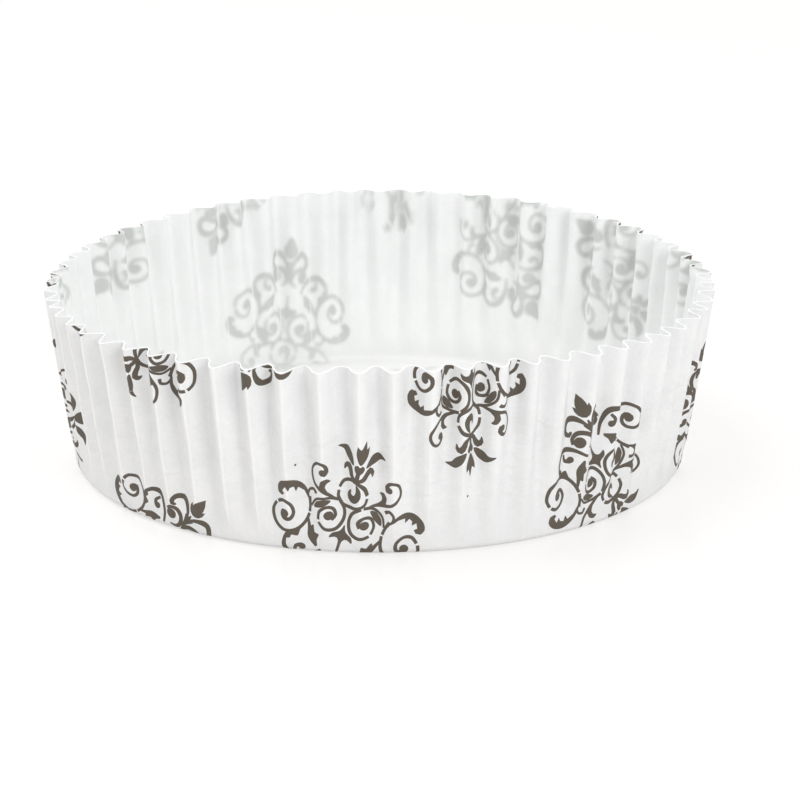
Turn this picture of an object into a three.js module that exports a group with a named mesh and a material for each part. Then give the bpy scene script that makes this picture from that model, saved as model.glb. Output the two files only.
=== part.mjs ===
// A round paper baking mold: one printed disc of stiff greaseproof paper, pressed into a flat base with a
// pleated wall. Millimetres, +Z up, origin in the middle of the underside, -Y towards the front.
import * as THREE from "three";

// Driving dimensions
const BASE_RADIUS = 82; // crease between the flat base and the wall
const RIM_RADIUS = 87.5; // middle of the pleats at the rim
const WALL_SLANT = 50; // paper between the crease and the rim, measured up the wall
const PAPER = 0.2; // paper thickness
const PLEAT_WIDTH = 8.87; // one pleat along the rim, from fold to fold
const PLEAT_DEPTH = 4.9; // inner fold to outer fold at the rim
const PLEAT_GROWTH = 0.62; // how fast the pleats deepen above the crease: under 1 is sooner
const FIRST_FOLD_DEG = -91.1; // direction of one inner fold, seen from above, anticlockwise from +X

// How finely the folded sheet is faceted
const POINTS_PER_PLEAT = 6;
const WALL_STEPS = [0, 0.05, 0.2, 0.5, 1]; // shares of the wall slant, closer together near the crease

// A whole number of pleats goes round the rim
const pleats = Math.round((2 * Math.PI * RIM_RADIUS) / PLEAT_WIDTH);
const columns = pleats * POINTS_PER_PLEAT;

// Half the pleat depth at a share of the wall slant.
function pleatReach(share) {
  return (PLEAT_DEPTH / 2) * share ** PLEAT_GROWTH;
}

// A point on the middle of the paper: column counts round the wall, share runs from the crease to the rim.
// Every line up the wall keeps its own length, so outer folds lean out more and end a little lower.
function paperPoint(column, share) {
  const turn = (column / POINTS_PER_PLEAT) * 2 * Math.PI;
  const angle = THREE.MathUtils.degToRad(FIRST_FOLD_DEG) + turn / pleats;
  const lean = (RIM_RADIUS - BASE_RADIUS) * share;
  const outwards = lean - pleatReach(share) * Math.cos(turn);
  const slant = WALL_SLANT * share;
  const height = Math.sqrt(Math.max(0, slant ** 2 - outwards ** 2));
  const radius = BASE_RADIUS + outwards;
  return new THREE.Vector3(
    radius * Math.cos(angle),
    radius * Math.sin(angle),
    PAPER / 2 + height,
  );
}

// The paper's outward direction there: square to the line up the wall and to the line round it.
function paperNormal(column, share) {
  const step = 0.01;
  const round = paperPoint(column + step, share).sub(
    paperPoint(column - step, share),
  );
  const low = Math.max(0, share - step);
  const high = Math.min(1, share + step);
  const up = paperPoint(column, high).sub(paperPoint(column, low));
  return round.cross(up).normalize();
}

// One face of the paper at a wall step: side 1 is outside, side -1 is inside. At the crease the wall's face
// and the base's face meet on their mitre.
function facePoint(column, share, side) {
  const middle = paperPoint(column, share);
  const normal = paperNormal(column, share);
  if (share > 0) return middle.addScaledVector(normal, (side * PAPER) / 2);
  const flat = new THREE.Vector3(middle.x, middle.y, 0).normalize();
  const mitre = new THREE.Vector3(flat.x, flat.y, -1).normalize();
  const reach = PAPER / 2 / Math.cos(Math.PI / 4);
  return middle.addScaledVector(mitre, side * reach);
}

// Rings of points from the centre of the underside, out and up the outside, over the cut edge of the rim, and
// down the inside to the centre of the base. The two centres are single points.
function sheetGeometry() {
  const outside = WALL_STEPS.map((share) => ({ share, side: 1 }));
  const inside = [...WALL_STEPS]
    .reverse()
    .map((share) => ({ share, side: -1 }));
  const rings = [...outside, ...inside];
  const positions = [];
  for (const { share, side } of rings) {
    for (let column = 0; column < columns; column++) {
      positions.push(...facePoint(column, share, side).toArray());
    }
  }
  const underCentre = positions.length / 3;
  positions.push(0, 0, 0);
  const overCentre = underCentre + 1;
  positions.push(0, 0, PAPER);

  const faces = [];
  const last = rings.length - 1;
  for (let column = 0; column < columns; column++) {
    const next = (column + 1) % columns;
    faces.push(underCentre, next, column);
    for (let ring = 0; ring < last; ring++) {
      const a = ring * columns + column;
      const b = ring * columns + next;
      const c = b + columns;
      const d = a + columns;
      faces.push(a, b, c, a, c, d);
    }
    faces.push(overCentre, last * columns + column, last * columns + next);
  }

  const geometry = new THREE.BufferGeometry();
  geometry.setAttribute(
    "position",
    new THREE.Float32BufferAttribute(positions, 3),
  );
  geometry.setIndex(faces);
  geometry.computeVertexNormals();
  return geometry;
}

const greaseproofPaper = new THREE.MeshStandardMaterial({
  name: "greaseproof_paper",
  color: new THREE.Color(0.86, 0.86, 0.84),
  roughness: 0.6,
  metalness: 0,
  flatShading: true,
});

const mold = new THREE.Mesh(sheetGeometry(), greaseproofPaper);
mold.name = "pleated_paper_mold";

const part = new THREE.Group();
part.name = "paper_baking_mold";
part.add(mold);

export default part;
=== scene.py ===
"""A round paper baking mold: one thin sheet with a pleated wall, printed outside with scroll medallions."""
import math

import bpy
import numpy as np
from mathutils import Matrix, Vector
from mathutils.geometry import delaunay_2d_cdt


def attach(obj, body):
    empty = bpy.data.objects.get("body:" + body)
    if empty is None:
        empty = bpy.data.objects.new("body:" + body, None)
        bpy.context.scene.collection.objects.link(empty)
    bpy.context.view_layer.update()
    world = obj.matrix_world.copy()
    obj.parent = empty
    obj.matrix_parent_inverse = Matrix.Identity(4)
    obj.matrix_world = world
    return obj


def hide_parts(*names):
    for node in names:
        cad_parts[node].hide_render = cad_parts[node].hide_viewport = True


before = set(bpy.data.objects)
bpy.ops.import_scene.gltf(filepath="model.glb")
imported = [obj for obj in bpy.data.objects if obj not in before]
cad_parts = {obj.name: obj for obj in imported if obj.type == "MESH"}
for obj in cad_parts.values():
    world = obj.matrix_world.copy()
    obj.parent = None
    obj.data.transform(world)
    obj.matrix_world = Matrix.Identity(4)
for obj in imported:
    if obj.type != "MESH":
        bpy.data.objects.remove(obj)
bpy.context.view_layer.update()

MM = 0.001
chance = np.random.default_rng(5322)

# ---------------------------------------------------------------- the mold, in millimetres
BASE = 82.0            # radius of the crease round the flat base
RIM = 87.5             # radius of the middle of the pleats at the rim
SLANT = 50.0           # paper from the crease to the rim
PAPER = 0.26           # thickness: more than real paper has, so that no ink shows through a sharp fold
PLEATS = 62
FIRST_FOLD = -1.1      # degrees from the near side to an inner fold, towards +X
CREASE_BEND = 1.3      # paper on each side of the crease that bends
STEEPEST = 1.45        # radians: the most that the side of a pleat leans
LOW_LEAN, ADDED_LEAN = 0.84, 0.16      # share of the full lean at the crease, and what the rim has more
FULL_FROM = 0.15       # share of the wall over which a pleat grows to its full depth
DENTS_GROW = 1.6       # how fast the unevenness grows up the wall: full at 1 / 1.6 of it

ROWS = np.concatenate([np.linspace(-2.4, 3.0, 19), np.linspace(4.0, SLANT, 47)])
FINE = 24              # columns of the table on each pleat


def waves(u, v, table):
    """A smooth sum of waves: each row is cycles round, cycles up, phase, height."""
    total = 0.0
    for around, up, phase, height in table:
        total = total + height * np.sin(around * u + up * v + phase)
    return total


def random_waves(count, around, up, height):
    """Waves of chance, with their cycles round and up between the limits given."""
    return [(int(chance.integers(*around)), chance.uniform(*up), chance.uniform(0, 2 * math.pi),
             height / math.sqrt(count)) for _ in range(count)]


# fold lines: where each inner fold stands, in radians from the near side
spacing = 2 * math.pi / PLEATS
# how far the inner folds in view stand from an even spacing, in degrees: from the near side to the right,
# and from it to the left
OFF_RIGHT = (0.0, 0.1, 0.2, -0.3, -0.2, -0.3, -0.4, -0.1, 0.5, 0.4, 0.1, 0.4, 0.4)
OFF_LEFT = (0.1, -0.3, -0.8, 0.0, -0.7, -1.2, -1.2, -1.1, -2.1, -2.7, -2.4, -1.8, -1.0)
drift = chance.uniform(-0.35, 0.35, PLEATS)
drift[:len(OFF_RIGHT)] = OFF_RIGHT
drift[:-1 - len(OFF_LEFT):-1] = OFF_LEFT
folds = math.radians(FIRST_FOLD) + spacing * np.arange(PLEATS) + np.radians(drift)
folds = np.append(folds, folds[0] + 2 * math.pi)
middle = np.degrees((folds[1:] + folds[:-1]) / 2)
middle = np.where(middle > 180, middle - 360, middle)         # degrees from the near side, right positive
LEFT_FROM, LEFT_TO, RIGHT_FROM, FADE = -30, -118, 25, 15      # the sides where the folds are pressed harder
on_left = np.clip((LEFT_FROM - middle) / FADE, 0, 1) * np.clip((middle - LEFT_TO) / FADE, 0, 1)
on_right = np.clip((middle - RIGHT_FROM) / FADE, 0, 1)
# how much lower than the slant allows the rim stands, in millimetres, at angles from the near side
LOWERED_AT = (-180, -150, -115, -90, -57, -45, -30, -22, -10, 0, 15, 28, 38, 46, 58, 90, 115, 130, 150, 180)
LOWERED_BY = (0.4, 1.1, 2.7, 3.1, 3.3, 2.6, 2.2, 1.7, 0.9, 0.6, 0.6, 1.1, 1.8, 2.2, 3.1, 2.9, 2.2, 1.6, 0.8, 0.4)
EASED_OVER = (-6, -3, 0, 3, 6)         # degrees to each side over which that is evened out
# each pleat's own looks: how sharp its folds are, how deep it is inwards and outwards, and where it starts
CRISPER_LEFT, CRISPER_RIGHT, SHALLOWER_LEFT = 2.6, 0.3, 0.22
crispness = chance.uniform(0.7, 1.5, PLEATS) + CRISPER_LEFT * on_left + CRISPER_RIGHT * on_right
deepness = 1.0 - SHALLOWER_LEFT * on_left
strength_in = chance.uniform(0.92, 1.07, PLEATS) * deepness
strength_out = chance.uniform(0.92, 1.07, PLEATS) * deepness
start_in = chance.uniform(0.0, 0.04, PLEATS)
start_out = chance.uniform(0.0, 0.05, PLEATS)
# unevenness of the whole wall: in and out in millimetres, sideways as a share of a pleat
dents = random_waves(10, (5, 40), (0.05, 0.4), 0.10)
sway = random_waves(6, (9, 31), (0.02, 0.09), 0.045)


def paper_table():
    """The middle of the paper, for each row up the wall and column round it: its places and directions.

    The side of a pleat leans just so much that a ring of the flat sheet fits the smaller ring it becomes.
    """
    s = ROWS[:, None]
    w = np.linspace(0, 1, FINE + 1)
    bend = np.clip((s + CREASE_BEND) / (2 * CREASE_BEND), 0, 1)
    bend = bend * bend * (3 - 2 * bend)
    lean = (RIM - BASE) / SLANT
    run = 1 + (lean - 1) * bend                      # how far the sheet runs outwards for each step up it
    radius = BASE + ROWS[0] + np.concatenate([[0], np.cumsum((run[1:, 0] + run[:-1, 0]) / 2 * np.diff(ROWS))])
    share = np.clip(ROWS / SLANT, 0, 1)
    turns = np.zeros((len(ROWS), PLEATS * FINE))
    outs = np.zeros_like(turns)
    tilts = np.linspace(0, STEEPEST, 60)
    for k in range(PLEATS):
        sharp = crispness[k]
        wave = np.tanh(sharp * np.sin(2 * math.pi * w)) / math.tanh(sharp)
        shortening = [np.cos(t * wave).mean() for t in tilts]
        width = folds[k + 1] - folds[k]
        for i, (sk, rk, q) in enumerate(zip(ROWS, radius, share)):
            if q <= 0:
                turns[i, k * FINE:(k + 1) * FINE] = folds[k] + w[:-1] * width
                continue
            tilt = np.interp(-rk / (BASE + sk), -np.array(shortening), tilts)
            tilt *= LOW_LEAN + ADDED_LEAN * q
            slope = tilt * wave
            across = np.concatenate([[0], np.cumsum(np.cos((slope[1:] + slope[:-1]) / 2))])
            rise = np.concatenate([[0], np.cumsum(np.sin((slope[1:] + slope[:-1]) / 2))])
            depth = (rise.max() - rise.min()) / FINE * (BASE + sk) * width
            rise = (rise - rise.min()) / (rise.max() - rise.min())
            nxt = (k + 1) % PLEATS
            low = [-0.5 * depth * strength_in[n] * min(1, max(0, (q - start_in[n]) / FULL_FROM))
                   for n in (k, nxt)]
            high = 0.5 * depth * strength_out[k] * min(1, max(0, (q - start_out[k]) / FULL_FROM))
            valley = np.where(w < 0.5, low[0], low[1])
            outs[i, k * FINE:(k + 1) * FINE] = (valley + (high - valley) * rise)[:-1]
            turns[i, k * FINE:(k + 1) * FINE] = folds[k] + (across / across[-1] * width)[:-1]
    flat_turn = np.concatenate([folds[k] + w[:-1] * (folds[k + 1] - folds[k]) for k in range(PLEATS)])
    grown = np.clip(share * DENTS_GROW, 0, 1)[:, None]
    outs = outs + grown * waves(flat_turn[None, :], ROWS[:, None], dents)
    turns = turns + grown * spacing * waves(flat_turn[None, :], ROWS[:, None], sway)
    radii = radius[:, None] + outs
    # each line up the wall keeps its length: what it spends outwards it loses in height
    rise = np.diff(radii, axis=0) / np.diff(ROWS)[:, None]
    climb = np.sqrt(np.clip(1 - rise ** 2, 0, 1)) * np.diff(ROWS)[:, None]
    from_near = (np.degrees(flat_turn) + 180) % 360 - 180
    lowered = sum(np.interp(from_near + d, LOWERED_AT, LOWERED_BY, period=360) for d in EASED_OVER)
    lowered = lowered / len(EASED_OVER)
    heights = np.concatenate([np.zeros((1, radii.shape[1])), np.cumsum(climb, axis=0)])
    heights = heights * (1 - lowered / SLANT)
    places = np.stack([radii * np.sin(turns), -radii * np.cos(turns), heights + PAPER / 2], axis=-1)
    around = np.roll(places, -1, axis=1) - np.roll(places, 1, axis=1)
    up = np.gradient(places, ROWS, axis=0)
    normals = np.cross(around, up)
    normals /= np.linalg.norm(normals, axis=-1, keepdims=True)
    return places, normals


PLACES, NORMALS = paper_table()


def pleat_place(flat):
    """Where points of the flat disc lie among the pleats: how many inner folds on, and how far up the wall."""
    turn = np.arctan2(flat[:, 0], flat[:, 1])
    turn = folds[0] + np.mod(turn - folds[0], 2 * math.pi)
    pleat = np.clip(np.searchsorted(folds, turn, side="right") - 1, 0, PLEATS - 1)
    within = (turn - folds[pleat]) / (folds[pleat + 1] - folds[pleat])
    return pleat + within, np.hypot(flat[:, 0], flat[:, 1]) - BASE


def fold_up(flat):
    """Where the folded sheet has points of the flat disc, near side at +V, and which way is outwards there."""
    column, up_wall = pleat_place(flat)
    column = column * FINE
    row = np.interp(up_wall, ROWS, np.arange(len(ROWS)))
    c0 = np.floor(column).astype(int)
    r0 = np.clip(np.floor(row).astype(int), 0, len(ROWS) - 2)
    fc = (column - c0)[:, None]
    fr = (row - r0)[:, None]
    c0 %= PLEATS * FINE
    c1 = (c0 + 1) % (PLEATS * FINE)

    def mix(table):
        low = table[r0, c0] * (1 - fc) + table[r0, c1] * fc
        high = table[r0 + 1, c0] * (1 - fc) + table[r0 + 1, c1] * fc
        return low * (1 - fr) + high * fr

    place, normal = mix(PLACES), mix(NORMALS)
    on_base = up_wall < ROWS[0]
    place[on_base] = np.stack([flat[:, 0], -flat[:, 1], np.full(len(flat), PAPER / 2)], axis=-1)[on_base]
    normal[on_base] = (0, 0, -1)
    return place, normal / np.linalg.norm(normal, axis=1, keepdims=True)


# ---------------------------------------------------------------- one printed medallion, x across, y up its stem
def spline(points, closed, step=0.6):
    """A smooth line through the points, as points about a step apart."""
    count = len(points)
    line = []
    for k in range(count if closed else count - 1):
        if closed:
            a, b, d, e = (points[(k + j) % count] for j in (-1, 0, 1, 2))
        else:
            a, b, d, e = (points[min(max(k + j, 0), count - 1)] for j in (-1, 0, 1, 2))
        cuts = max(1, round(math.dist(b[:2], d[:2]) / step))
        for c in range(cuts):
            t = c / cuts
            line.append(tuple(
                0.5 * (2 * q + (r - p) * t + (2 * p - 5 * q + 4 * r - z) * t * t
                       + (3 * q - p - 3 * r + z) * t ** 3)
                for p, q, r, z in zip(a, b, d, e)))
    if not closed:
        line.append(tuple(float(v) for v in points[-1]))
    return line


THINNEST = 0.12        # half the width of the thinnest pen line
EYE_SIDES = 12


def pen(*points):
    """The outline of a pen line through points (x, y, half width)."""
    line = spline(points, False)
    left, right = [], []
    for k, (x, y, w) in enumerate(line):
        x0, y0, _ = line[max(k - 1, 0)]
        x1, y1, _ = line[min(k + 1, len(line) - 1)]
        run = math.hypot(x1 - x0, y1 - y0) or 1
        nx, ny = -(y1 - y0) / run, (x1 - x0) / run
        w = max(w, THINNEST)
        left.append((x + nx * w, y + ny * w))
        right.append((x - nx * w, y - ny * w))
    return left + right[::-1]


def leaf(*points):
    """A smooth outline through the points."""
    return spline(points, True)


def cut_leaf(rounded, *points):
    """A leaf with a smooth line through its first points and straight cuts between the rest."""
    return spline(points[:rounded], False, step=0.9) + list(points[rounded:])


def eye(x, y, r):
    """A round spot."""
    turns = [2 * math.pi * n / EYE_SIDES for n in range(EYE_SIDES)]
    return [(x + r * math.cos(a), y + r * math.sin(a)) for a in turns]


# the shapes on the right of the stem, in millimetres; the left has them mirrored
SIDE = [
    # crown: side leaf, hooked curl
    leaf((1.7, 15.9), (2.7, 18.6), (4.6, 20.1), (6.2, 19.9), (7.8, 18.9), (6.0, 18.6), (4.4, 17.1)),
    pen((0.2, 11.9, .4), (1.6, 12.7, .65), (2.3, 14.1, .75), (3.2, 15.2, .9), (4.2, 14.6, .6), (4.3, 13.4, .12)),
    # curl that springs from under the drop, with its leaf
    pen((4.7, 5.2, .2), (8.0, 6.2, .55), (11.4, 7.2, .42), (13.4, 10.2, .38), (12.5, 12.9, .4),
        (10.4, 13.3, .45), (9.3, 11.9, .6), (10.0, 10.8, .8)),
    eye(10.1, 11.2, 0.95),
    leaf((7.2, 6.2), (8.3, 7.6), (8.1, 8.8), (7.3, 9.5), (8.6, 9.9), (9.8, 8.6), (9.7, 7.2), (10.3, 6.6)),
    # long scroll: notched leaf end, down the outside, round the outer eye
    cut_leaf(8, (11.0, 1.2), (12.2, 3.2), (14.2, 4.7), (16.6, 5.2), (19.0, 4.6), (20.8, 2.9), (21.2, 0.8),
             (20.2, -0.6), (18.8, -0.4), (18.3, 0.5), (19.2, 1.0), (18.9, 2.4), (17.7, 1.6), (17.7, 2.8),
             (16.9, 3.4), (15.8, 2.3), (15.6, 3.6), (13.6, 3.2), (12.0, 1.8)),
    pen((11.6, 2.4, .55), (10.6, 0.3, .42), (10.1, -1.6, .4)),
    pen((10.0, -2.0, .4), (10.2, -4.8, .45), (11.6, -7.6, .5), (14.4, -9.4, .5), (17.6, -8.7, .5),
        (19.7, -6.0, .45), (19.6, -3.6, .45)),
    pen((19.3, -3.1, .45), (17.9, -1.5, .5), (15.7, -1.6, .45), (14.1, -3.4, .45), (14.3, -5.4, .55),
        (15.8, -6.0, .8), (16.6, -5.0, .8)),
    eye(16.2, -4.7, 1.2),
    leaf((10.6, -5.6), (11.4, -7.0), (12.6, -8.3), (13.6, -9.2), (13.0, -10.6), (12.0, -9.6), (10.6, -9.2),
         (10.6, -7.6)),
    # short curl beside the leaf end
    pen((12.3, 2.4, .35), (12.3, 4.2, .35), (11.0, 5.3, .45), (9.9, 4.6, .5)),
    # middle eye
    pen((10.2, 0.4, .3), (9.3, 3.2, .35), (6.4, 4.9, .4), (3.6, 4.9, .45)),
    pen((3.0, 4.6, .45), (1.2, 2.6, .45), (0.8, -0.2, .45), (2.0, -3.0, .5), (4.6, -4.0, .5), (6.8, -2.7, .4)),
    pen((7.1, -2.1, .4), (7.5, 0.2, .4), (6.3, 2.2, .45), (4.3, 2.2, .45), (3.2, 0.6, .5), (4.0, -0.8, .6)),
    eye(4.9, 0.1, 1.3),
    leaf((5.6, 4.2), (7.4, 4.1), (9.2, 2.4), (9.4, 0.6), (8.0, 1.2), (6.6, 2.6)),
    # below the eyes
    pen((9.9, -3.4, .3), (8.6, -5.6, .5), (7.6, -8.0, .45), (5.2, -9.8, .2)),
    leaf((7.9, -4.4), (8.6, -6.4), (7.4, -8.6), (5.0, -9.6), (5.6, -8.0), (5.6, -6.2), (6.8, -6.2)),
    pen((3.8, -10.2, .35), (5.8, -12.9, .5), (8.6, -14.8, .75), (10.8, -14.9, .8), (12.8, -13.2, .6),
        (13.5, -10.8, .45)),
    eye(13.0, -10.3, 0.9),
    pen((9.6, -13.9, .4), (9.9, -12.0, .5), (8.6, -11.1, .7)),
    eye(8.4, -11.4, 0.95),
    # root: eye in its bowl, curl
    pen((2.6, -12.3, .25), (1.0, -13.4, .5), (0.7, -15.2, .6), (1.9, -17.0, .65), (4.0, -17.6, .65),
        (5.7, -16.6, .5), (6.1, -15.0, .4)),
    eye(4.3, -15.0, 1.6),
    pen((0.5, -18.6, .3), (1.8, -20.5, .6), (3.6, -21.9, .85), (5.3, -22.0, .8), (6.6, -20.6, .7),
        (6.8, -18.9, .6), (6.1, -17.9, .7), (5.2, -18.6, .25)),
]
# the shapes on the stem
STEM = [
    # crown: middle leaf, bud
    leaf((0.2, 23.2), (0.9, 21.0), (1.7, 21.7), (1.7, 19.6), (1.0, 17.9), (0, 16.6), (-1.0, 17.9), (-1.7, 19.6),
         (-1.8, 21.6), (-0.8, 20.8)),
    leaf((0, 13.7), (1.1, 14.8), (1.3, 16.0), (0.6, 16.5), (0, 16.0), (-0.6, 16.5), (-1.3, 16.0), (-1.1, 14.8)),
    # drop
    pen((-4.2, 8.2, .42), (-3.6, 10.2, .45), (-1.6, 11.5, .5), (0.6, 11.3, .5), (2.6, 10.2, .55), (3.8, 8.4, .5)),
    pen((3.9, 7.6, .42), (3.6, 5.9, .4), (1.9, 4.4, .45), (-0.4, 3.9, .5)),
    pen((-4.2, 7.4, .42), (-3.9, 5.8, .45), (-2.8, 4.5, .5), (-1.6, 3.8, .5), (1.2, 4.1, .5)),
    leaf((0.2, 10.9), (1.6, 9.6), (2.1, 7.6), (1.4, 5.8), (0, 5.4), (-1.3, 6.4), (-1.6, 8.0), (-0.8, 9.0),
         (-0.6, 7.8), (0.3, 7.6), (0.6, 8.8)),
    # arrow leaf and its stalk
    leaf((0, -1.4), (0.7, -3.2), (2.6, -4.4), (3.0, -5.9), (1.6, -5.3), (0.5, -6.0), (0.3, -9.6), (-0.3, -9.6),
         (-0.5, -6.0), (-1.6, -5.3), (-3.0, -5.9), (-2.6, -4.4), (-0.7, -3.2)),
    # stalk of the bud, and the root's two leaves
    pen((0, 14.3, .5), (0, 12.6, .55), (0.1, 11.4, .4)),
    leaf((0, -15.0), (0.8, -17.2), (1.7, -19.3), (0.6, -18.9), (0.2, -20.3), (-0.2, -20.3), (-0.6, -18.9),
         (-1.7, -19.3), (-0.8, -17.2)),
    cut_leaf(5, (0, -21.0), (1.0, -21.3), (1.8, -22.1), (2.3, -23.3), (2.2, -24.8), (1.6, -24.1), (1.5, -25.0),
             (1.1, -26.1), (0, -27.9), (-1.1, -26.1), (-1.5, -25.0), (-1.6, -24.1), (-2.2, -24.8), (-2.3, -23.3),
             (-1.8, -22.1), (-1.0, -21.3)),
]
MEDALLION = [np.array(shape, float) for shape in STEM]
for shape in SIDE:
    MEDALLION.append(np.array(shape, float))
    MEDALLION.append(np.array([(-x, y) for x, y in reversed(shape)], float))

# where the medallions lie on the flat disc: across, towards the near side, degrees turned
LAYOUT = [
    (-10, 90, -10), (30.3, 121.2, 170), (64.3, 72.0, 173), (-53.5, 50.3, 171), (-88, 103.5, 170),
    (-44.6, 142.2, -10), (-98, 17.7, -10), (99.5, 19.4, 170), (91.8, -69.5, -10), (-111.2, -75, 170),
    (6.6, -141.3, -10), (-70.9, -124.2, 170), (-29.5, -87.5, -10), (49.7, -107.6, 170), (22, 36.5, -10),
    (-20.6, 0.6, 170), (56.9, -16.5, -10), (14.3, -52.4, 170), (-63.2, -35.3, -10), (115, 116, -10),
    (134.4, -33.6, 170), (-140.7, -18.2, 170), (-133, 70.7, -10), (142, 55, -10),
]
PRINT_EDGE = BASE + SLANT - 0.22     # the print stops this far from the middle of the disc
LEAST_SEEN = 0.1                     # a shape that reaches less far inside that edge is left out
SPECKS = (-26.9, 102.2), (24, 93.5)  # stray drops of ink
SPECK_RADIUS = 0.32
SHORTEST = 0.04                      # of two outline points nearer than this, one is left out


def printed_shapes():
    """Every printed shape on the flat disc, trimmed at the rim."""
    shapes = []
    for x, y, turn in LAYOUT:
        c, s = math.cos(math.radians(turn)), math.sin(math.radians(turn))
        for shape in MEDALLION:
            flat = np.stack([x + shape[:, 0] * c - shape[:, 1] * s,
                             y + shape[:, 0] * s + shape[:, 1] * c], axis=1)
            rho = np.hypot(flat[:, 0], flat[:, 1])
            if rho.min() > PRINT_EDGE - LEAST_SEEN:
                continue
            flat *= np.minimum(1, PRINT_EDGE / rho)[:, None]
            keep = np.linalg.norm(flat - np.roll(flat, 1, axis=0), axis=1) > SHORTEST
            if keep.sum() > 2:
                shapes.append(flat[keep])
    shapes.extend(np.array(eye(x, y, SPECK_RADIUS)) for x, y in SPECKS)
    return shapes


# ---------------------------------------------------------------- the sheet's mesh
# columns of a pleat, closer at its folds, and rows up the wall, closer at the crease
COLUMNS = np.array([0, 0.06, 0.17, 0.33, 0.44, 0.5, 0.56, 0.67, 0.83, 0.94])
SKIN_ROWS = np.concatenate([[-2.3, -1.5, -0.9, -0.3, 0.3, 0.9, 1.5, 2.3, 3.3, 4.6], np.linspace(6.4, SLANT, 21)])
RIM_COUNT = PLEATS * len(COLUMNS)
BASE_STEP = 6.0        # between the points of the flat base
BASE_CLEAR, RIM_CLEAR = 5.0, 0.7       # how far loose points keep from the crease and from the rim
SAME_POINT = 1e-4      # points nearer than this are one
SHADE_STEP = 0.76      # between the points that carry the shade of the print inside
SHADE_LEAST = 0.03     # shade that needs no more points
FEWER_WITHIN = 72      # nearer the middle than this, half as many points do
CLEAR = 0.3            # how far the grid keeps from the print's outlines
TRIANGLE_ROW = 0.866   # height of a triangle with sides of 1
OUTSIDE, INK, INSIDE, EDGE = range(4)                # material slots


def polar_points():
    """The flat disc's grid: the rim's points first, then ring by ring inwards, then the base."""
    turn = np.concatenate([folds[k] + COLUMNS * (folds[k + 1] - folds[k]) for k in range(PLEATS)])
    rings = [np.stack([(BASE + s) * np.sin(turn), (BASE + s) * np.cos(turn)], axis=1) for s in SKIN_ROWS[::-1]]
    inside = [(BASE_STEP * (i + 0.5 * (j % 2)), BASE_STEP * TRIANGLE_ROW * j)
              for j in range(-16, 17) for i in range(-15, 16)]
    inside = [p for p in inside if math.hypot(*p) < BASE - BASE_CLEAR]
    return np.concatenate(rings + [np.array(inside)])


def medallion_shade(reach=30.0, pitch=0.12, soft=0.46):
    """How much ink lies round each point of one medallion, smeared, on a square of points."""
    n = int(2 * reach / pitch)
    line = -reach + pitch * (np.arange(n) + 0.5)
    ink = np.zeros((n, n), bool)
    for shape in MEDALLION:
        nxt = np.roll(shape, -1, axis=0)
        lowest = max(0, int((shape[:, 1].min() + reach) / pitch))
        highest = min(n, int((shape[:, 1].max() + reach) / pitch) + 1)
        for row in range(lowest, highest):
            y = line[row]
            crossing = (shape[:, 1] > y) != (nxt[:, 1] > y)
            if not crossing.any():
                continue
            a, b = shape[crossing], nxt[crossing]
            xs = np.sort(a[:, 0] + (y - a[:, 1]) / (b[:, 1] - a[:, 1]) * (b[:, 0] - a[:, 0]))
            for x0, x1 in zip(xs[::2], xs[1::2]):
                ink[row, (line > x0) & (line < x1)] = True
    kernel = np.exp(-0.5 * (np.arange(-14, 15) * pitch / soft) ** 2)
    kernel /= kernel.sum()
    shade = ink.astype(float)
    for axis in (0, 1):
        shade = np.apply_along_axis(lambda v: np.convolve(v, kernel, mode="same"), axis, shade)
    return shade, reach, pitch


def print_through(flat, shade):
    """How dark the print shows through the paper at points of the flat disc."""
    grid, reach, pitch = shade
    dark = np.zeros(len(flat))
    for x, y, turn in LAYOUT:
        c, s = math.cos(math.radians(turn)), math.sin(math.radians(turn))
        dx, dy = flat[:, 0] - x, flat[:, 1] - y
        u, v = dx * c + dy * s, -dx * s + dy * c
        near = (np.abs(u) < reach - 1) & (np.abs(v) < reach - 1)
        col = (u[near] + reach) / pitch - 0.5
        row = (v[near] + reach) / pitch - 0.5
        i, j = row.astype(int), col.astype(int)
        fi, fj = row - i, col - j
        dark[near] = np.maximum(dark[near], grid[i, j] * (1 - fi) * (1 - fj) + grid[i, j + 1] * (1 - fi) * fj
                                + grid[i + 1, j] * fi * (1 - fj) + grid[i + 1, j + 1] * fi * fj)
    return dark


def triangulate(points, outlines):
    """Triangles over the whole disc that keep the outlines as edges: points, triangles, where each point went."""
    coords = [Vector(p) for p in points.tolist()]
    edges = []
    for shape in outlines:
        first = len(coords)
        coords.extend(Vector(p) for p in shape.tolist())
        edges.extend((first + n, first + (n + 1) % len(shape)) for n in range(len(shape)))
    verts, _, tris, orig, _, _ = delaunay_2d_cdt(coords, edges, [], 0, SAME_POINT)
    where = {old: new for new, olds in enumerate(orig) for old in olds}
    return np.array([tuple(v) for v in verts]), np.array(tris), where


def inside_any(points, outlines):
    """Which points lie inside one of the outlines."""
    found = np.zeros(len(points), bool)
    order = np.argsort(points[:, 0])
    across = points[order, 0]
    for shape in outlines:
        low, high = shape.min(axis=0), shape.max(axis=0)
        near = order[np.searchsorted(across, low[0]):np.searchsorted(across, high[0])]
        near = near[(points[near, 1] > low[1]) & (points[near, 1] < high[1])]
        here = points[near]
        turns = np.zeros(len(here), int)
        for a, b in zip(shape, np.roll(shape, -1, axis=0)):
            left = (b[0] - a[0]) * (here[:, 1] - a[1]) - (b[1] - a[1]) * (here[:, 0] - a[0])
            turns += (a[1] <= here[:, 1]) & (b[1] > here[:, 1]) & (left > 0)
            turns -= (a[1] > here[:, 1]) & (b[1] <= here[:, 1]) & (left < 0)
        found[near[turns != 0]] = True
    return found


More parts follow.
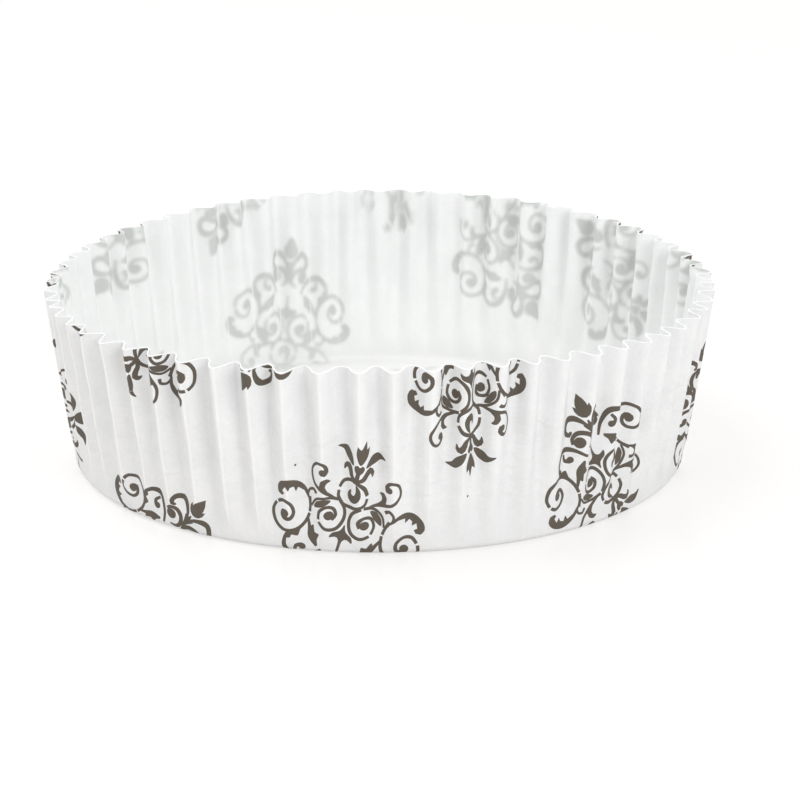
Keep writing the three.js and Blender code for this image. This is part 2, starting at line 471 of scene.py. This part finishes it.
def clear_of(crowd, points):
    """Which points keep clear of the crowd."""
    cells = {}
    for n, (x, y) in enumerate(crowd):
        cells.setdefault((int(x // 1), int(y // 1)), []).append(n)
    found = []
    for x, y in points:
        i, j = int(x // 1), int(y // 1)
        near = (n for a in (i - 1, i, i + 1) for b in (j - 1, j, j + 1) for n in cells.get((a, b), ()))
        found.append(all(abs(crowd[n][0] - x) + abs(crowd[n][1] - y) >= CLEAR for n in near))
    return np.array(found)


def shaded_points(shade):
    """Points of the flat disc where the print shows through."""
    span = int((BASE + SLANT) / SHADE_STEP) + 2
    i, j = np.meshgrid(np.arange(-span, span), np.arange(-span, span))
    points = np.stack([(i + 0.5 * (j % 2)) * SHADE_STEP, j * SHADE_STEP * TRIANGLE_ROW], axis=-1).reshape(-1, 2)
    points = points[np.hypot(points[:, 0], points[:, 1]) < BASE + SLANT - RIM_CLEAR]
    points = points[print_through(points, shade) > SHADE_LEAST]
    rho = np.hypot(points[:, 0], points[:, 1])
    return np.concatenate([points[rho > FEWER_WITHIN], points[rho < FEWER_WITHIN][::2]])


def build_sheet():
    """The sheet: its outer skin with the print cut in, its inner skin, and the cut edge that joins them."""
    grid = polar_points()
    shapes = printed_shapes()
    shade = medallion_shade()
    kept = clear_of(np.concatenate(shapes), grid)
    kept[:RIM_COUNT] = True
    out_flat, out_tris, out_where = triangulate(grid[kept], shapes)
    inked = inside_any(out_flat[out_tris].mean(axis=1), shapes)
    in_flat, in_tris, in_where = triangulate(np.concatenate([grid, shaded_points(shade)]), [])

    out_place, out_normal = fold_up(out_flat)
    in_place, in_normal = fold_up(in_flat)
    out_place = out_place + out_normal * PAPER / 2
    in_place = in_place - in_normal * PAPER / 2
    places = np.concatenate([out_place, in_place])
    normals = np.concatenate([out_normal, -in_normal])
    flats = np.concatenate([out_flat, in_flat])
    base = len(out_place)
    faces = out_tris.tolist() + (in_tris[:, ::-1] + base).tolist()
    slots = np.where(inked, INK, OUTSIDE).tolist() + [INSIDE] * len(in_tris)
    skins = len(faces)
    rim = [(out_where[k], in_where[k] + base) for k in range(RIM_COUNT)]
    for (a, c), (b, d) in zip(rim, rim[1:] + rim[:1]):
        faces.append((a, b, d, c))
        slots.append(EDGE)
    mesh = bpy.data.meshes.new("pleated_paper")
    mesh.from_pydata((places * MM).tolist(), [], faces)
    mesh.polygons.foreach_set("material_index", np.array(slots, dtype=np.int32))
    mesh.polygons.foreach_set("use_smooth", np.ones(len(faces), dtype=bool))
    mesh.update()

    corner_vertex = np.zeros(len(mesh.loops), dtype=np.int32)
    mesh.loops.foreach_get("vertex_index", corner_vertex)
    corner_normals = normals[corner_vertex]
    for p in list(mesh.polygons)[skins:]:
        corner_normals[p.loop_start:p.loop_start + p.loop_total] = tuple(p.normal)
    mesh.normals_split_custom_set(corner_normals.tolist())
    shown = mesh.attributes.new("print_through", "FLOAT", "POINT")
    shades = np.concatenate([np.zeros(base), print_through(in_flat, shade)])
    shown.data.foreach_set("value", shades.astype(np.float32))

    # two maps: the flat sheet, and how many pleats on and how far up the wall
    sheet_map = mesh.uv_layers.new(name="flat_sheet")
    uv = flats[corner_vertex] / (2 * (BASE + SLANT)) + 0.5
    sheet_map.data.foreach_set("uv", uv.astype(np.float32).ravel())
    count, up_wall = pleat_place(flats)
    count, up_wall = count[corner_vertex], up_wall[corner_vertex]
    # a face across the first fold counts on past the last pleat
    starts = np.array([p.loop_start for p in mesh.polygons])
    sizes = np.array([p.loop_total for p in mesh.polygons])
    highest = np.repeat(np.maximum.reduceat(count, starts), sizes)
    count = np.where(highest - count > PLEATS / 2, count + PLEATS, count)
    pleat_map = mesh.uv_layers.new(name="pleats")
    pleat_map.data.foreach_set("uv", np.stack([count, up_wall], axis=1).astype(np.float32).ravel())
    obj = bpy.data.objects.new("pleated_paper", mesh)
    bpy.context.scene.collection.objects.link(obj)
    return obj


# ---------------------------------------------------------------- materials
class Value:
    """A socket that takes part in sums."""

    def __init__(self, tree, socket):
        self.tree, self.socket = tree, socket

    def _math(self, operation, other, swapped=False):
        pair = (other, self) if swapped else (self, other)
        return self.tree.node("ShaderNodeMath", {"operation": operation}, {0: pair[0], 1: pair[1]})

    def __add__(self, other): return self._math("ADD", other)
    def __radd__(self, other): return self._math("ADD", other, True)
    def __sub__(self, other): return self._math("SUBTRACT", other)
    def __rsub__(self, other): return self._math("SUBTRACT", other, True)
    def __mul__(self, other): return self._math("MULTIPLY", other)
    def __rmul__(self, other): return self._math("MULTIPLY", other, True)


class Finish:
    """A material that is being made."""

    def __init__(self, name):
        self.material = bpy.data.materials.new(name)
        self.material.use_nodes = True
        self.nodes = self.material.node_tree.nodes
        self.links = self.material.node_tree.links
        self.nodes.clear()

    def node(self, kind, settings=None, sockets=None, output=0):
        """A new node with its settings, then its sockets' values or links; gives one of its outputs."""
        made = self.nodes.new(kind)
        for name, value in (settings or {}).items():
            if name == "stops":
                for n, (position, colour) in enumerate(value):
                    stop = made.color_ramp.elements[n]
                    stop.position, stop.color = position, colour
            else:
                setattr(made, name, value)
        for name, value in (sockets or {}).items():
            if isinstance(value, Value):
                self.links.new(value.socket, made.inputs[name])
            else:
                made.inputs[name].default_value = value
        return Value(self, made.outputs[output])

    def mix(self, fraction, first, second):
        return self.node("ShaderNodeMix", {"data_type": "RGBA"}, {0: fraction, 6: first, 7: second}, output=2)

    def clamp(self, value):
        return self.node("ShaderNodeClamp", None, {"Value": value, "Min": 0.0, "Max": 1.0})

    def finish(self, shader):
        out = self.nodes.new("ShaderNodeOutputMaterial")
        self.links.new(shader.socket, out.inputs["Surface"])
        return self.material


def grey(r, g, b):
    """A colour, not near black, given as it looks on screen, 0 to 255."""
    return tuple(((c / 255 + 0.055) / 1.055) ** 2.4 for c in (r, g, b)) + (1.0,)


OBJECT = 3             # output of Texture Coordinate
FACTOR = 2             # output of Attribute
GLOSSY, TRANSMISSION = 3, 6            # outputs of Light Path


def paper_finish(name, pale, dull, line, marked, through=None):
    """Greaseproof paper: soft mottling, fibres, a painted highlight along the outward folds, crimp marks, a
    little light through it.

    `line` is the colour of that painted highlight, `marked` is how deep the crimp marks are, and `through` the
    tone of the print where it shows through; where it is given, painted shade also darkens the base and the
    crease.
    """
    f = Finish(name)
    here = f.node("ShaderNodeTexCoord", output=OBJECT)
    place = f.node("ShaderNodeUVMap", {"uv_map": "pleats"})
    count = f.node("ShaderNodeSeparateXYZ", None, {0: place})
    up = f.node("ShaderNodeSeparateXYZ", None, {0: place}, output=1)
    cloud = f.node("ShaderNodeTexNoise", None, {"Vector": here, "Scale": 110.0, "Detail": 4.0, "Roughness": 0.6})
    fibre = f.node("ShaderNodeTexNoise", None, {"Vector": here, "Scale": 1100.0, "Detail": 2.0, "Roughness": 0.6})
    blend = cloud * 0.6 + fibre * 0.4
    colour = f.node("ShaderNodeValToRGB", {"stops": [(0.36, dull), (0.64, pale)]}, {"Fac": blend})
    if through is not None:
        ghost = f.node("ShaderNodeAttribute", {"attribute_name": "print_through"}, None, output=FACTOR)
        colour = f.mix(f.clamp(ghost * 1.45 - 0.12), colour, through)
        # painted shade: inside, the base and the crease are a little darker, where less light reaches
        colour = f.mix(f.clamp((7.0 - up) * 0.1) * 0.55, colour, grey(226, 226, 223))
    # painted highlight: lighter lines where the paper is folded outwards and catches the light, above the crease
    # and towards the left
    along = f.node("ShaderNodeMath", {"operation": "FRACT"}, {0: count}) - 0.5
    along = f.node("ShaderNodeMath", {"operation": "ABSOLUTE"}, {0: along})
    sideways = f.node("ShaderNodeSeparateXYZ", None, {0: here})
    fold_highlight = f.clamp(1.0 - along * 20.0) * f.clamp((up - 2.0) * 0.12) * f.clamp(0.4 - sideways * 11.0)
    colour = f.mix(fold_highlight * 0.8, colour, line)
    # small marks left by the crimping, across the pleats at mid height
    across = f.node("ShaderNodeCombineXYZ", None, {0: count * 1.1, 1: up * 0.42, 2: 0.0})
    marks = f.node("ShaderNodeTexNoise", None, {
        "Vector": across, "Scale": 1.0, "Detail": 2.5, "Roughness": 0.5, "Distortion": 0.8})
    band = f.clamp((up - 8.0) * 0.12) * f.clamp((40.0 - up) * 0.12)
    height = marks * band * marked + cloud * 0.5 + fibre * 0.12 + fold_highlight * 0.3
    bump = f.node("ShaderNodeBump", None, {"Strength": 0.5, "Distance": 0.0005, "Height": height})
    surface = f.node("ShaderNodeBsdfPrincipled", None, {
        "Base Color": colour, "Roughness": 0.62, "Specular IOR Level": 0.3, "Normal": bump})
    lit_through = f.node("ShaderNodeBsdfTranslucent", None, {"Color": (0.92, 0.92, 0.9, 1), "Normal": bump})
    return f.finish(f.node("ShaderNodeMixShader", None, {0: 0.12, 1: surface, 2: lit_through}))


def ink_finish(name, colour):
    """Matt ink, of one colour."""
    f = Finish(name)
    here = f.node("ShaderNodeTexCoord", output=OBJECT)
    grain = f.node("ShaderNodeTexNoise", None, {"Vector": here, "Scale": 1500.0, "Detail": 2.0, "Roughness": 0.6})
    bump = f.node("ShaderNodeBump", None, {"Strength": 0.3, "Distance": 0.0002, "Height": grain})
    surface = f.node("ShaderNodeBsdfPrincipled", None, {
        "Base Color": colour, "Roughness": 0.6, "Specular IOR Level": 0.3, "Normal": bump})
    return f.finish(surface)


def edge_finish(name):
    """The cut edge of the paper, paler than its faces."""
    f = Finish(name)
    here = f.node("ShaderNodeTexCoord", output=OBJECT)
    fray = f.node("ShaderNodeTexNoise", None, {"Vector": here, "Scale": 1200.0, "Detail": 2.0})
    colour = f.node("ShaderNodeValToRGB", {
        "stops": [(0.3, grey(244, 244, 243)), (0.7, grey(252, 252, 251))]}, {"Fac": fray})
    surface = f.node("ShaderNodeBsdfPrincipled", None, {"Base Color": colour, "Roughness": 0.7})
    return f.finish(surface)


sheet = build_sheet()
for material in (
    # painted light: outside and inside are one paper, given paler colours inside, where it looks lit through; the
    # third colour of each is its painted highlight on the folds
    paper_finish("outside_paper", grey(236, 237, 238), grey(227, 229, 230), grey(252, 253, 253), 2.0),
    ink_finish("taupe_ink", grey(89, 82, 73)),
    paper_finish("inside_paper", grey(250, 250, 249), grey(244, 245, 244), grey(250, 250, 250), 0.5,
                 through=grey(212, 214, 211)),
    edge_finish("cut_edge"),
):
    sheet.data.materials.append(material)
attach(sheet, "root")
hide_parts("pleated_paper_mold")

# ---------------------------------------------------------------- floor, light and camera, in metres
FLOOR_SIDE = 6.0
FLOOR_GAP = 0.0003     # keeps the floor from showing through the base
bpy.ops.object.select_all(action="DESELECT")
bpy.ops.mesh.primitive_plane_add(size=FLOOR_SIDE, location=(0, 0, -FLOOR_GAP))
floor = bpy.context.object
floor.name = "floor"
f = Finish("floor_white")
plain = f.node("ShaderNodeBsdfPrincipled", None, {
    "Base Color": (1.0, 0.95, 0.905, 1), "Roughness": 0.22, "Specular IOR Level": 0.5})
glow = f.node("ShaderNodeEmission", None, {"Color": (1, 1, 1, 1), "Strength": 0.97})
# seen straight, in a reflection or through something, most of the floor is plain white
watched = f.node("ShaderNodeLightPath")
for output in (GLOSSY, TRANSMISSION):
    ray = f.node("ShaderNodeLightPath", output=output)
    watched = f.node("ShaderNodeMath", {"operation": "MAXIMUM"}, {0: watched, 1: ray})
floor_shader = f.node("ShaderNodeMixShader", None, {0: watched * 0.72, 1: plain, 2: glow})
floor.data.materials.append(f.finish(floor_shader))

# the surroundings light the mold softly and are white themselves
world = bpy.data.worlds.new("studio")
bpy.context.scene.world = world
world.use_nodes = True
wn, wl = world.node_tree.nodes, world.node_tree.links
wn.clear()
paths = wn.new("ShaderNodeLightPath")
soft = wn.new("ShaderNodeBackground")
soft.inputs["Color"].default_value = (0.975, 0.985, 1.0, 1)
soft.inputs["Strength"].default_value = 0.89
white = wn.new("ShaderNodeBackground")
white.inputs["Color"].default_value = (1, 1, 1, 1)
white.inputs["Strength"].default_value = 1.0
both = wn.new("ShaderNodeMixShader")
out = wn.new("ShaderNodeOutputWorld")
either = paths.outputs["Is Camera Ray"]
for kind in ("Is Glossy Ray", "Is Transmission Ray"):
    larger = wn.new("ShaderNodeMath")
    larger.operation = "MAXIMUM"
    wl.new(either, larger.inputs[0])
    wl.new(paths.outputs[kind], larger.inputs[1])
    either = larger.outputs[0]
wl.new(either, both.inputs[0])
wl.new(soft.outputs[0], both.inputs[1])
wl.new(white.outputs[0], both.inputs[2])
wl.new(both.outputs[0], out.inputs["Surface"])


def lamp(name, side, power, place, aim):
    """A square softbox that faces a point."""
    data = bpy.data.lights.new(name, "AREA")
    data.shape = "SQUARE"
    data.size = side
    data.energy = power
    obj = bpy.data.objects.new(name, data)
    bpy.context.scene.collection.objects.link(obj)
    obj.location = place
    obj.rotation_euler = (Vector(aim) - Vector(place)).to_track_quat("-Z", "Y").to_euler()


lamp("softbox_top", 0.7, 6.0, (-0.45, 0.1, 1.1), (0, 0, 0))
lamp("softbox_front", 0.6, 6.0, (0.7, -1.1, 0.75), (0, 0, 0.02))

# camera, fitted to the photograph: its place in mean radii of the rim
RIM_UNIT = 87.4 * MM
CAMERA_PLACE = (-0.1015, -9.593, 3.259)
PITCH_DOWN, YAW_RIGHT = 17.92, 0.99                  # degrees
FOCAL_PIXELS, PHOTO_WIDTH, SENSOR_WIDTH = 3253.7, 800, 36.0
camera = bpy.data.cameras.new("camera")
camera.sensor_width = SENSOR_WIDTH
camera.lens = FOCAL_PIXELS / PHOTO_WIDTH * SENSOR_WIDTH
camera.clip_start, camera.clip_end = 0.05, 20
viewer = bpy.data.objects.new("camera", camera)
bpy.context.scene.collection.objects.link(viewer)
viewer.location = [c * RIM_UNIT for c in CAMERA_PLACE]
pitch, yaw = math.radians(PITCH_DOWN), math.radians(YAW_RIGHT)
look = Vector((math.sin(yaw) * math.cos(pitch), math.cos(yaw) * math.cos(pitch), -math.sin(pitch)))
viewer.rotation_euler = look.to_track_quat("-Z", "Y").to_euler()
bpy.context.scene.camera = viewer
bpy.context.scene.view_settings.view_transform = "Standard"

bpy.context.view_layer.update()
